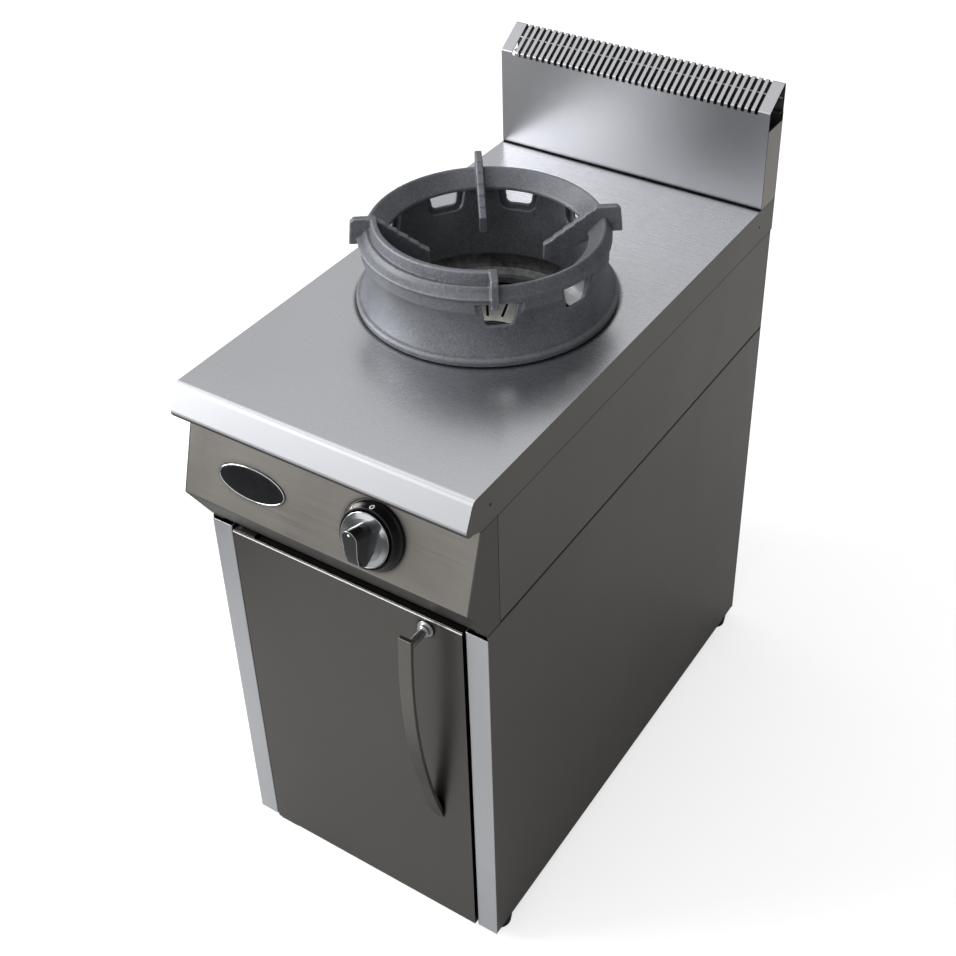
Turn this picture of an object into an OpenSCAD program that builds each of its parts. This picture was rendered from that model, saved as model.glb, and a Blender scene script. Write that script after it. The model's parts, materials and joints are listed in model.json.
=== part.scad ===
// Wok burner: a free-standing gas range for one wok, built as separate named pieces.
// Millimetres, +Z up, front towards -Y. The origin is on the floor under the middle of the whole part.

/* [Cabinet] */
// Width over the worktop
body_w = 450; // [420:1:520]
// Depth from the front of the posts to the rear panel
body_d = 800; // [740:1:860]
// Floor to the top of the worktop
worktop_h = 866; // [860:1:890]
// Height of the feet
foot_h = 16; // [12:1:25]
// Radius of the feet
foot_r = 20; // [16:0.5:20.5]
// Height of the upper box, from the seam to the worktop
upper_h = 234; // [230:1:245]
// Width of the front posts
post_w = 34; // [33:0.5:40]
// Depth of the front posts
post_d = 30; // [28:1:36]
// Thickness of the cabinet sheet
sheet = 1.5; // [1:0.1:2]
// Inner radius of the folds
fold_r = 1.2; // [0.8:0.1:1.5]
// Width of the folded edges
flange_w = 20; // [16:1:24]

/* [Worktop] */
// Thickness of the worktop sheet
worktop_t = 1.5; // [1:0.1:2]
// Height of the side flanges
skirt_h = 55; // [52:1:58]
// Height of the leaning nose
nose_h = 47; // [42:1:48]
// Reach of the nose's top edge in front of the posts
nose_top_out = 22; // [18:1:26]
// Reach of the nose's foot in front of the posts
nose_low_out = 44; // [40:1:48]
// Inner radius of the nose folds
nose_r = 8; // [6:0.5:8.5]
// Depth of the lip under the nose
lip_d = 18; // [17:1:20]

/* [Wok ring] */
// Radius of the ring's foot
ring_r = 178; // [174:0.5:184]
// Height of the ring
ring_h = 109; // [108:1:118]
// Wall thickness of the casting
ring_wall = 8; // [7:0.5:9]
// Thickness of the prongs
prong_t = 10; // [8:0.5:12]
// Radius of the circle inside the prong tips
prong_tip_r = 76; // [72:1:82]
// Distance of the ring's middle behind the posts
ring_back = 356; // [340:1:370]

/* [Burner] */
// Outer radius of the burner head
burner_r = 114; // [108:0.5:118]
// Radius of the burner's middle hole
burner_hole_r = 50; // [46:0.5:54]
// Depth of the burner head below the worktop
burner_drop = 66; // [62:1:70]
// Radius of the opening in the worktop
bowl_r = 159; // [156:0.5:160]
// Number of radial slots in the burner head
slot_count = 18; // [12:1:24]

/* [Control panel] */
// Upright height of the sloped panel
fascia_h = 112; // [108:1:116]
// Reach of the panel's lower edge in front of the posts
fascia_out = 40; // [36:0.5:42]
// Reach of the panel in front of the posts at the worktop's flange
fascia_top_out = 5.5; // [4:0.5:8]
// Place of the knob to the right of the middle
knob_x = 77.5; // [70:0.5:90]
// Radius of the knob
knob_r = 36; // [33:0.5:38]
// Radius of the bezel
bezel_r = 46; // [44:0.5:48]
// Travel of the knob when pressed
push_travel = 4; // [3:0.5:4.5]

/* [Door] */
// Thickness of the door
door_t = 20; // [18:0.5:21]
// Reach of the door in front of the posts
door_proud = 2; // [1:0.5:3]
// Gap between the door and the posts
door_gap = 3; // [2.5:0.5:4]
// Bow radius of the handle's front
bow_r = 900; // [850:10:1000]
// Reach of the handle's front from the door
bow_out = 51; // [46:1:54]
// Width of the handle bar
bar_w = 20; // [16:1:24]
// Thickness of the handle bar
bar_t = 6; // [5:0.5:8]

/* [Flue] */
// Height of the hood's front over the worktop
hood_front_h = 156; // [150:1:165]
// Height of the hood's ridge over the worktop
hood_ridge_h = 187; // [178:1:195]
// Height of the flue's end panels
flue_end_h = 126; // [115:1:130]
// Depth of the flue
flue_d = 50; // [46:1:56]
// Number of slots in the hood
hood_slots = 39; // [33:1:41]

/* [Hidden] */
$fn = 72;
overrun = 1;
running = 0.05;
loose = 0.3;
fold_steps = 5;

// Main planes
half_w = body_w / 2;
cab_half = half_w - worktop_t;
in_half = cab_half - sheet;
seam_z = worktop_h - upper_h;
header_h = 8;
post_top = seam_z - header_h;
under_z = worktop_h - worktop_t;
skirt_z = worktop_h - skirt_h;

// Slope of the control panel, and the knob on it
fascia_low_z = skirt_z - fascia_h;
lean = atan((fascia_out - fascia_top_out) / fascia_h);
knob_up = 54;
knob_out = fascia_out - knob_up * sin(lean);
knob_z = fascia_low_z + knob_up * cos(lean);
knob_air = 2;
knob_gap = push_travel + knob_air;
knob_face = 20;
knob_rim = 1.2;
plate_t = 3;
plate_dome = 2.5;
dome_steps = 5;
bezel_h = 16;
bezel_edge = 3;
fin_w = 22;
fin_low_w = 16;
fin_h = 56;
fin_top = 24;
fin_mid = -14;
fin_mid_h = 43.3;
fin_bend = -27;
fin_bend_h = 36;
fin_rim_gap = 3;
fin_low = fin_rim_gap - knob_r;
knob_reach = knob_out + fin_h * cos(lean) - fin_top * sin(lean);

// The gas inlet stands out behind and the knob in front: the origin is midway
inlet_out = 28;
front_y = -(body_d + inlet_out - knob_reach) / 2;
rear_y = front_y + body_d;
rear_in_y = rear_y - sheet;
knob_y = front_y - knob_out;
ring_y = front_y + ring_back;
cap_depth = 29;
cap_seam_y = front_y + cap_depth;
return_back = 1;
seam_gap = 0.8;
top_flange = 14;
panel_fold_r = 3;
fascia_top_y = front_y - fascia_top_out + (under_z - skirt_z) * tan(lean);
panel_line = [[fascia_top_y, under_z], [front_y - fascia_out, fascia_low_z],
    [front_y + return_back, seam_z]];
nose_line = [[front_y - nose_top_out, worktop_h], [front_y - nose_low_out, worktop_h - nose_h],
    [front_y - nose_low_out + lip_d, worktop_h - nose_h]];

// Cabinet floor, header and shelf
pan_h = 15;
header_set_back = 12;
header_d = 29;
shelf_lip = 12;
shelf_air = 60;

// Door and its hinge line
post_in = cab_half - post_w;
door_left = -post_in + door_gap;
door_right = post_in - door_gap;
door_y = front_y - door_proud;
door_back_y = door_y + door_t;
hinge_plate_t = 3;
hinge_gap = 0.5;
door_low = foot_h + hinge_gap;
door_top = post_top - hinge_plate_t - hinge_gap;
pin_r = 3;
pin_collar_r = 4.2;
pin_collar_t = 2;
hinge_in = 9;
hinge_back = 6;
hinge_x = door_left + hinge_in;
hinge_y = door_y + hinge_back;
plate_margin = 5;
plate_reach = 28;
plate_d = 44;

// Handle
handle_in = 55;
handle_x = door_right - handle_in;
bow_facets = 720;
bow_drop = 91;
bow_z = door_top - bow_drop;
bow_y = door_y + bow_r - bow_out;
bar_drop = 1;
bar_top = door_top - bar_drop;
stud_drop = 18;
stud_z = bar_top - stud_drop;
stud_r = 6;
rosette_r = 12;
rosette_t = 3;
collar_r = 9;
collar_t = 8;

// Door catch
catch_w = 30;
catch_d = 16;
catch_h = 12;
catch_in = 50;
catch_x = door_right - catch_in;
strike_t = 1.2;
strike_h = 16;

// Gas way
valve_r = 20;
valve_depth = 46;
valve_flange_r = 25;
valve_flange_t = 3;
valve_mid = 30;
valve_y = knob_y + valve_mid * cos(lean);
valve_z = knob_z - valve_mid * sin(lean);
port_len = 8;
port_wall = 3;
plug_r = 10;
plug_front = 8;
plug_len = 32;
plug_bore = 24;
spindle_r = 4;
spindle_in = 20;
spindle_out = 34;
spindle_way = 3;
pipe_r = 8;
pipe_rise = 38;
pipe_z = seam_z + pipe_rise;
feed_r = 6;
pilot_pipe_r = 3;
elbow_share = 1.35;
inlet_r = 10.48;
inlet_neck_r = 12;
inlet_bore_r = 7.5;
inlet_in = 20;
inlet_hex_r = 17;
inlet_hex_t = 10;

// Burner
tube_r = 22;
tube_wall = 4;
tube_mouth_back = 108;
tube_mouth_y = front_y + tube_mouth_back;
mouth_r = 30;
mouth_d = 16;
burner_wall = 6;
burner_low = valve_z - tube_r - burner_wall;
burner_top = worktop_h - burner_drop;
head_h = 18;
head_z = burner_top - head_h;
head_rim = 6;
head_bevel = 3;
head_dish = 13;
head_over = 4;
body_r = burner_r - head_over;
channel_mid_r = (burner_hole_r + body_r) / 2;
slot_w = 4;
slot_turn = 4.5;
bracket_w = 44;
bracket_h = 18;
injector_r = 7;
injector_tip_r = 3;
injector_len = 24;
injector_gap = 6;

// Pilot burner and its flame probe
pilot_r = 5;
pilot_h = 34;
pilot_rise = 10;
pilot_top_z = head_z + pilot_rise;
pilot_low_z = pilot_top_z - pilot_h;
pilot_pipe_z = pilot_top_z - pilot_h / 2;
pilot_clear = 8;
pilot_out = burner_r + pilot_clear;
pilot_turn = -acos(knob_x / pilot_out);
pilot_y = ring_y + pilot_out * sin(pilot_turn);
pilot_arm = 8;
pilot_arm_t = 4;
probe_r = 2.5;
probe_over = 6;
lead_r = 1.5;
probe_x = knob_x + pilot_pipe_r + port_wall + lead_r + loose;
probe_y = ring_y - sqrt(pilot_out * pilot_out - probe_x * probe_x);
lead_z = valve_z + valve_r / cos(lean) + lead_r + loose;

// Drip bowl
bowl_t = 1.2;
bowl_flange = 15;
bowl_gap = 18;
bowl_low_r = burner_r + bowl_gap;
bowl_drop = 66;
bowl_straight = 36;
bowl_steps = 8;

// Wok ring: radii counted in from the foot, heights from the worktop
bead_h = 10;
bead_in = 4;
waist_in = 15.5;
waist_h = 54;
band_in = 10.5;
band_low_h = 76;
band_top_drop = 13.5;
flare_steps = 6;
edge_in = 19;
edge_w = 3;
seat_in = 42;
seat_drop = 20;
seat_edge = 5;
seat_root_drop = 29;
skirt_gap = 2;
skirt_t = 5;
skirt_drop = 30;
core_h = 32;
guard_root_drop = 12;
guard_top_gap = 0.6;
guard_in = 22;
guard_w = 8;
guard_lean = 5;
ledge_out = 3.5;
ledge_h = 6;
ledge_low_drop = 18;
prong_turn = 36.5;
prong_root = 8;
prong_root_drop = 29;
prong_flat = 33;
ear_out = 4;
ear_lean = 3;
ear_rise = 17;
ear_low_drop = 20;
ear_round = 5;
tip_top_drop = 36;
tip_low_drop = 59;
step_count = 5;
step_rise = 2;
window_count = 7;
window_pitch = 39.4;
window_turn = prong_turn - 88;
window_low_h = 53;
window_top_h = 87;
window_low_w = 34;
window_top_w = 47;
window_round = 6;
window_in = 6;
pocket = 7.3;
pocket_in = 15.5;
inner_pocket_in = 20.5;

// Flue
flue_y = rear_y - flue_d;
hood_foot = 12;
hood_foot_end = 20;
lip_drop = 45;
hood_lip_h = hood_ridge_h - lip_drop;
rear_flange = 14;
hood_end_slots = 3;
hood_pitch = body_w / (hood_slots + hood_end_slots);
slot_share = 0.5;
hood_slot_w = hood_pitch * slot_share;
hood_wrap = 6;
stay_r = 2;
stay_drop = 25;
vent_margin = 45;
vent_front = 15;
vent_rear = 20;

// Screws in the worktop's side flanges
screw_r = 2.2;
screw_drop = 28;
screw_back = 12.5;
screw_places = [front_y + screw_back, flue_y];

// Feet
foot_over = 1;
foot_x = cab_half - foot_r + foot_over;
foot_from_end = 35;
foot_taper = 2;

// Colours
steel = "#a9abae";
warm_steel = "#6b665f";
pale_steel = "#b0b2b8";
dark_steel = "#5a5754";
iron = "#44474c";
black = "#1c1c1e";
bright = "#d8dade";
brass = "#b5925a";

// Unit vector and left-hand normal of a flat vector
function unit(v) = v / norm(v);
function left_of(v) = [-v[1], v[0]];

// Corner i of a path, moved to the left by d, and the whole path moved so
function mitre(path, i, d) =
    let (last = len(path) - 1,
         a = unit(i > 0 ? path[i] - path[i - 1] : path[1] - path[0]),
         b = unit(i < last ? path[i + 1] - path[i] : path[last] - path[last - 1]),
         m = left_of(a) + left_of(b))
    path[i] + m * 2 * d / (m * m);
function moved_left(path, d) = [for (i = [0 : len(path) - 1]) mitre(path, i, d)];

// Points of the arc that rounds the corner v between p and q
function arc_corner(p, v, q, r) =
    let (a = unit(p - v),
         b = unit(q - v),
         half = acos(a * b) / 2,
         middle = v + unit(a + b) * r / sin(half),
         from = v + a * r / tan(half) - middle,
         to = v + b * r / tan(half) - middle)
    [for (k = [0 : fold_steps]) middle + r * unit(from * (fold_steps - k) + to * k)];
function turns_left(path, i) = cross(path[i] - path[i - 1], path[i + 1] - path[i]) > 0;

// Open path with rounded corners: one radius for its left turns, one for its right turns
function rounded(path, r_left, r_right) = concat(
    [path[0]],
    [for (i = [1 : len(path) - 2])
        each arc_corner(path[i - 1], path[i], path[i + 1], turns_left(path, i) ? r_left : r_right)],
    [path[len(path) - 1]]);
function reversed(list) = [for (i = [len(list) - 1 : -1 : 0]) list[i]];

// Section of a folded sheet: its outer face follows the path and its metal lies to the left
module fold(path, t, r) {
    polygon(concat(rounded(path, r + t, r), reversed(rounded(moved_left(path, t), r, r + t))));
}

// A flat shape in Y and Z, drawn out along X
module along_x(x0, x1) {
    translate([x0, 0, 0]) rotate([90, 0, 90]) linear_extrude(x1 - x0) children();
}

// A flat shape in X and Z, drawn out along Y
module along_y(y0, y1) {
    translate([0, y1, 0]) rotate([90, 0, 0]) linear_extrude(y1 - y0) children();
}

module box(low, high) {
    translate(low) cube(high - low);
}

module rod_x(x0, x1, y, z, r) {
    translate([x0, y, z]) rotate([0, 90, 0]) cylinder(r = r, h = x1 - x0);
}

module rod_y(y0, y1, x, z, r) {
    translate([x, y0, z]) rotate([-90, 0, 0]) cylinder(r = r, h = y1 - y0);
}

module rod_z(z0, z1, x, y, r) {
    translate([x, y, z0]) cylinder(r = r, h = z1 - z0);
}

// Cast elbow block on a pipe of radius r
module elbow(place, r) {
    translate(place) cube(2 * r * elbow_share, center = true);
}

// Frame on the sloped panel: local Z stands out of it, local Y runs up it
module on_panel() {
    translate([knob_x, knob_y, knob_z]) rotate([90 - lean, 0, 0]) children();
}

module mirrored() {
    mirror([1, 0, 0]) children();
}

// Lower cabinet

module lower_side() {
    edge = cab_half - flange_w;
    top = seam_z - seam_gap;
    path = [[edge, foot_h], [cab_half, foot_h], [cab_half, top], [edge, top]];
    along_y(front_y + sheet, rear_in_y) fold(path, sheet, fold_r);
}

module right_side_panel() {
    color(dark_steel) lower_side();
}

module left_side_panel() {
    color(dark_steel) mirrored() lower_side();
}

module post() {
    path = [[post_in, front_y + post_d], [post_in, front_y], [cab_half, front_y]];
    translate([0, 0, foot_h]) linear_extrude(post_top - foot_h) fold(path, sheet, fold_r);
}

module right_post() {
    color(pale_steel) post();
}

module left_post() {
    color(pale_steel) mirrored() post();
}

// Tray turned upside down on the side panels' lower edges, with a front lip over the hinge plate
module base_pan() {
    pan_y = front_y + post_d + loose;
    pan_half = in_half - fold_r - loose;
    lip_half = cab_half - flange_w - loose;
    pan_top = foot_h + pan_h;
    pan_low = foot_h + sheet;
    path = [[pan_half, pan_low], [pan_half, pan_top], [-pan_half, pan_top], [-pan_half, pan_low]];
    color(steel) {
        along_y(pan_y, rear_in_y) fold(path, sheet, fold_r);
        box([-lip_half, pan_y, foot_h], [lip_half, pan_y + sheet, pan_top]);
    }
}

module rear_panel() {
    color(dark_steel) difference() {
        box([-cab_half, rear_in_y, foot_h], [cab_half, rear_y, under_z]);
        rod_y(rear_in_y - overrun, rear_y + overrun, knob_x, pipe_z, inlet_neck_r + loose);
    }
}

module door_header() {
    header_half = cab_half - flange_w - loose;
    front = front_y + header_set_back;
    back = front + header_d;
    path = [[back, seam_z], [front, seam_z], [front, post_top], [back, post_top]];
    color(dark_steel) along_x(-header_half, header_half) fold(path, sheet, fold_r);
}

module foot(x, y) {
    color(black) translate([x, y, 0]) cylinder(r1 = foot_r - foot_taper, r2 = foot_r, h = foot_h);
}

module foot_front_left() {
    foot(-foot_x, front_y + foot_from_end);
}

module foot_front_right() {
    foot(foot_x, front_y + foot_from_end);
}

module foot_rear_left() {
    foot(-foot_x, rear_y - foot_from_end);
}

module foot_rear_right() {
    foot(foot_x, rear_y - foot_from_end);
}

// Upper box

module upper_side() {
    edge = cab_half - flange_w;
    path = [[edge, seam_z], [cab_half, seam_z], [cab_half, under_z], [edge, under_z]];
    along_y(cap_seam_y + seam_gap, rear_in_y) fold(path, sheet, fold_r);
}

module right_upper_side() {
    color(warm_steel) upper_side();
}

module left_upper_side() {
    color(warm_steel) mirrored() upper_side();
}

module divider_shelf() {
    low = seam_z + sheet;
    front = cap_seam_y + loose;
    back = rear_in_y - shelf_air;
    path = [[front, low + shelf_lip], [front, low], [back, low], [back, low + shelf_lip]];
    shelf_half = in_half - fold_r - loose;
    color(steel) along_x(-shelf_half, shelf_half) fold(path, sheet, fold_r);
}

module fascia() {
    path = concat([[fascia_top_y + top_flange, under_z]], panel_line, [[cap_seam_y - loose, seam_z]]);
    color(warm_steel) difference() {
        along_x(-in_half, in_half) fold(path, sheet, panel_fold_r);
        on_panel() translate([0, 0, -2 * sheet]) cylinder(r = spindle_r + spindle_way, h = 3 * sheet);
    }
}

module end_cap() {
    corner_r = panel_fold_r + sheet;
    outline = concat(rounded(panel_line, corner_r, corner_r), [[cap_seam_y, seam_z], [cap_seam_y, under_z]]);
    along_x(in_half, cab_half) polygon(outline);
}

module right_end_cap() {
    color(warm_steel) end_cap();
}

module left_end_cap() {
    color(warm_steel) mirrored() end_cap();
}

// Worktop

module worktop_skirt() {
    corner_r = nose_r + worktop_t;
    outline = concat(rounded(concat([[rear_y, worktop_h]], nose_line), corner_r, corner_r),
        [[front_y - fascia_top_out, skirt_z], [rear_y, skirt_z]]);
    difference() {
        along_x(cab_half, half_w) polygon(outline);
        for (y = screw_places)
            rod_x(cab_half - overrun, half_w + overrun, y, worktop_h - screw_drop, screw_r + running);
    }
}

module worktop() {
    vent_half = half_w - vent_margin;
    color(steel) difference() {
        union() {
            along_x(-half_w, half_w) fold(concat([[rear_y, worktop_h]], nose_line), worktop_t, nose_r);
            worktop_skirt();
            mirrored() worktop_skirt();
        }
        rod_z(under_z - overrun, worktop_h + overrun, 0, ring_y, bowl_r);
        box([-vent_half, flue_y + vent_front, under_z - overrun],
            [vent_half, rear_y - vent_rear, worktop_h + overrun]);
    }
}

module worktop_screws() {
    color(dark_steel) for (x = [-half_w, cab_half], y = screw_places)
        rod_x(x, x + worktop_t, y, worktop_h - screw_drop, screw_r);
}

// Burner and its bowl

module drip_bowl() {
    rim_r = bowl_r + bowl_flange;
    low = worktop_h - bowl_drop;
    bend_z = under_z - bowl_straight;
    curve = [for (k = [0 : bowl_steps])
        let (a = 90 * k / bowl_steps)
        [bowl_r - (bowl_r - bowl_low_r) * (1 - cos(a)), bend_z - (bend_z - low) * sin(a)]];
    outside = [for (p = reversed(curve)) p + [bowl_t, -bowl_t]];
    outline = concat([[rim_r, under_z - bowl_t], [rim_r, under_z], [bowl_r, under_z]], curve, outside,
        [[bowl_r + bowl_t, under_z - bowl_t]]);
    color(steel) translate([0, ring_y, 0]) rotate_extrude() polygon(outline);
}

module burner_bracket() {
    front = ring_y - bracket_w / 2;
    back = ring_y + bracket_w / 2;
    low = burner_low - bracket_h;
    path = [[back, low], [back, burner_low], [front, burner_low], [front, low]];
    color(dark_steel) along_x(-in_half, in_half) fold(path, sheet, fold_r);
}

// Ring channel with a mixing tube and its bell mouth
module burner_body() {
    bore_r = tube_r - tube_wall;
    color(iron) difference() {
        union() {
            rod_z(burner_low, head_z, 0, ring_y, body_r);
            rod_y(tube_mouth_y + mouth_d, ring_y - channel_mid_r, 0, valve_z, tube_r);
            translate([0, tube_mouth_y, valve_z]) rotate([-90, 0, 0])
                cylinder(r1 = mouth_r, r2 = tube_r, h = mouth_d);
        }
        rod_z(burner_low - overrun, head_z + overrun, 0, ring_y, burner_hole_r);
        difference() {
            rod_z(burner_low + burner_wall, head_z + overrun, 0, ring_y, body_r - burner_wall);
            rod_z(burner_low, head_z + 2 * overrun, 0, ring_y, burner_hole_r + burner_wall);
        }
        rod_y(tube_mouth_y - overrun, ring_y - channel_mid_r, 0, valve_z, bore_r);
        translate([0, tube_mouth_y, valve_z]) rotate([-90, 0, 0])
            cylinder(r1 = mouth_r - tube_wall, r2 = bore_r, h = mouth_d);
    }
}

module burner_head() {
    rim_r = burner_r - head_rim;
    hub_r = burner_hole_r + head_rim;
    outline = [[burner_hole_r, head_z], [burner_r, head_z], [burner_r, burner_top - head_bevel],
        [burner_r - head_bevel, burner_top], [rim_r, burner_top], [burner_hole_r, burner_top - head_dish]];
    color(bright) translate([0, ring_y, 0]) difference() {
        rotate_extrude() polygon(outline);
        for (i = [0 : slot_count - 1])
            rotate([0, 0, slot_turn + i * 360 / slot_count])
                box([hub_r + head_bevel, -slot_w / 2, head_z - overrun],
                    [rim_r - head_bevel, slot_w / 2, burner_top + overrun]);
    }
}

module pilot_burner() {
    color(brass) {
        rod_z(pilot_low_z, pilot_top_z, knob_x, pilot_y, pilot_r);
        translate([0, ring_y, pilot_low_z]) rotate([0, 0, pilot_turn])
            box([body_r + loose, -pilot_arm / 2, 0], [pilot_out, pilot_arm / 2, pilot_arm_t]);
    }
}

module thermocouple() {
    color(bright) {
        rod_z(lead_z, pilot_top_z + probe_over, probe_x, probe_y, probe_r);
        rod_y(valve_y, probe_y, probe_x, lead_z, lead_r);
    }
}

// Gas way from the inlet to the burner

module gas_inlet() {
    color(brass) difference() {
        union() {
            rod_y(rear_y, rear_y + inlet_out, knob_x, pipe_z, inlet_r);
            rod_y(rear_in_y - inlet_in, rear_y, knob_x, pipe_z, inlet_neck_r);
            translate([knob_x, rear_in_y - inlet_hex_t, pipe_z]) rotate([-90, 0, 0])
                cylinder(r = inlet_hex_r, h = inlet_hex_t, $fn = 6);
        }
        rod_y(rear_y, rear_y + inlet_out + overrun, knob_x, pipe_z, inlet_bore_r);
    }
}

module inlet_pipe() {
    color(steel) {
        rod_y(valve_y, rear_in_y - inlet_in, knob_x, pipe_z, pipe_r);
        elbow([knob_x, valve_y, pipe_z], pipe_r);
        rod_z(pipe_z, valve_z - valve_r - port_len, knob_x, valve_y, pipe_r);
    }
}

module burner_pipe() {
    color(steel) {
        rod_x(0, knob_x - valve_r - port_len, valve_y, valve_z, feed_r);
        elbow([0, valve_y, valve_z], feed_r);
        rod_y(valve_y, tube_mouth_y - injector_gap - injector_len, 0, valve_z, feed_r);
    }
}

module pilot_pipe() {
    color(steel) {
        rod_z(valve_z + valve_r + port_len, pilot_pipe_z, knob_x, valve_y, pilot_pipe_r);
        elbow([knob_x, valve_y, pilot_pipe_z], pilot_pipe_r);
        rod_y(valve_y, pilot_y - pilot_r, knob_x, pilot_pipe_z, pilot_pipe_r);
    }
}

module injector() {
    color(brass) translate([0, tube_mouth_y - injector_gap, valve_z]) rotate([90, 0, 0]) {
        cylinder(r1 = injector_tip_r, r2 = injector_r, h = injector_r);
        translate([0, 0, injector_r]) cylinder(r = injector_r, h = injector_len - injector_r);
    }
}

module gas_valve() {
    color(brass) difference() {
        union() {
            on_panel() {
                translate([0, 0, -valve_depth]) cylinder(r = valve_r, h = valve_depth - sheet);
                translate([0, 0, -sheet - valve_flange_t]) cylinder(r = valve_flange_r, h = valve_flange_t);
            }
            rod_z(valve_z - valve_r - port_len, valve_z, knob_x, valve_y, pipe_r + port_wall);
            rod_z(valve_z, valve_z + valve_r + port_len, knob_x, valve_y, pilot_pipe_r + port_wall);
            rod_x(knob_x - valve_r - port_len, knob_x, valve_y, valve_z, feed_r + port_wall);
        }
        on_panel() translate([0, 0, -plug_front - plug_len - loose])
            cylinder(r = plug_r + running, h = plug_front + plug_len + loose);
    }
}

module valve_plug() {
    color(brass) on_panel() difference() {
        translate([0, 0, -plug_front - plug_len]) cylinder(r = plug_r, h = plug_len);
        translate([0, 0, -plug_front - plug_bore]) cylinder(r = spindle_r + running, h = plug_bore + overrun);
    }
}

// Knob, pressed along local Z and turned about it

module valve_spindle() {
    color(bright) on_panel() translate([0, 0, -spindle_in])
        cylinder(r = spindle_r, h = spindle_in + spindle_out);
}

// Fin of the knob: tall and half-round at its pointer end, running down to the rim at the other
module fin(foot) {
    end_r = fin_w / 2;
    end_y = fin_top - end_r;
    low_half = fin_low_w / 2;
    slope = (fin_h - fin_mid_h) / (fin_top - fin_mid);
    side = [[fin_top + overrun, foot], [fin_top + overrun, fin_h + overrun * slope], [fin_mid, fin_mid_h],
        [fin_bend, fin_bend_h], [fin_low, knob_face + plate_dome], [fin_low, foot]];
    intersection() {
        along_x(-fin_w, fin_w) polygon(side);
        translate([0, 0, foot - overrun]) linear_extrude(fin_h) {
            translate([0, end_y]) circle(r = end_r);
            polygon([[end_r, end_y], [-end_r, end_y], [-low_half, fin_low - overrun],
                [low_half, fin_low - overrun]]);
        }
    }
}

module knob_body() {
    floor_z = knob_face - plate_t;
    color(black) on_panel() difference() {
        union() {
            difference() {
                translate([0, 0, knob_gap]) cylinder(r = knob_r, h = knob_face - knob_gap);
                translate([0, 0, floor_z]) cylinder(r = knob_r - knob_rim, h = plate_t + overrun);
            }
            fin(floor_z);
        }
        cylinder(r = spindle_r + running, h = spindle_out + loose);
    }
}

module knob_plate() {
    plate_r = knob_r - knob_rim - running;
    floor_z = knob_face - plate_t;
    dome = [for (k = [0 : dome_steps])
        let (s = 1 - k / dome_steps)
        [plate_r * s, knob_face + plate_dome * (1 - s * s)]];
    color(bright) on_panel() difference() {
        rotate_extrude() polygon(concat([[0, floor_z], [plate_r, floor_z]], dome));
        fin(floor_z - overrun);
    }
}

module bezel() {
    in_r = knob_r + knob_rim;
    outline = [[in_r, 0], [bezel_r, 0], [bezel_r, bezel_edge], [bezel_r - bezel_edge, 2 * bezel_edge],
        [in_r + bezel_edge, bezel_h], [in_r, bezel_h]];
    color(black) on_panel() rotate_extrude() polygon(outline);
}

// Wok ring, standing on the worktop

// Points of a hollow curve from the waist's narrowest circle to the point p
function flared(waist, p) = [for (k = [0 : flare_steps])
    let (s = k / flare_steps)
    [waist[0] + (p[0] - waist[0]) * s * s, waist[1] + (p[1] - waist[1]) * s]];

// Wall turned in one piece: foot, waist, rim band, sloped seat, and a skirt down into the worktop's opening
module ring_wall() {
    skirt_r = bowl_r - skirt_gap;
    bead_r = ring_r - bead_in;
    band_r = ring_r - band_in;
    seat_r = ring_r - seat_in;
    waist = [ring_r - waist_in, waist_h];
    lower = flared(waist, [bead_r, bead_h]);
    upper = flared(waist, [band_r, band_low_h]);
    skirt = [[skirt_r - skirt_t, -skirt_drop], [skirt_r, -skirt_drop], [skirt_r, core_h],
        [bead_r - ring_wall, bead_h], [bead_r - ring_wall, 0], [ring_r, 0], [ring_r, bead_h - bead_in]];
    rim = [[band_r, ring_h - band_top_drop], [ring_r - edge_in, ring_h], [ring_r - edge_in - edge_w, ring_h],
        [seat_r, ring_h - seat_drop], [seat_r, ring_h - seat_drop - seat_edge],
        [skirt_r - skirt_t, ring_h - seat_root_drop]];
    outer = concat(reversed(lower), [for (i = [1 : flare_steps]) upper[i]]);
    rotate_extrude() polygon(concat(skirt, outer, rim));
}

// Upright guard and a thicker band around the closed front sector
module ring_guard() {
    root = ring_h - guard_root_drop;
    top = ring_h + ear_rise - guard_top_gap;
    out_r = ring_r - guard_in;
    in_r = out_r - guard_w;
    guard = [[in_r, root], [out_r, root], [out_r - guard_lean, top], [in_r - guard_lean, top]];
    ledge_r = ring_r - band_in + ledge_out;
    ledge_low = ring_h - ledge_low_drop;
    ledge = [[out_r, ledge_low], [ledge_r, ledge_low + ledge_out], [ledge_r, ledge_low + ledge_h],
        [ring_r - edge_in, ring_h - ledge_out], [out_r, ring_h - ledge_out]];
    rotate([0, 0, prong_turn + 180]) {
        rotate_extrude(angle = 90) polygon(guard);
        rotate_extrude(angle = 90) polygon(ledge);
    }
}

module prong() {
    ear_r = ring_r + ear_out;
    ear_low = ring_h - ear_low_drop;
    top = ring_h + ear_rise;
    tip_top = ring_h - tip_top_drop;
    slope_end = ring_r - prong_flat;
    run = (slope_end - prong_tip_r) / step_count;
    rise = (top - tip_top) / step_count;
    steps = [for (i = [0 : step_count - 1])
        each [[prong_tip_r + i * run, tip_top + i * rise],
              [prong_tip_r + (i + 1) * run, tip_top + (i + 1) * rise - step_rise]]];
    outline = concat([[prong_tip_r, ring_h - tip_low_drop]], steps,
        [[slope_end, top], [ear_r - ear_lean - ear_round, top], [ear_r - ear_lean, top - ear_round],
         [ear_r, ear_low], [ring_r - edge_in, ear_low],
         [ring_r - seat_in + prong_root, ring_h - prong_root_drop]]);
    rotate([90, 0, 0]) translate([0, 0, -prong_t / 2]) linear_extrude(prong_t) polygon(outline);
}

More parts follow.
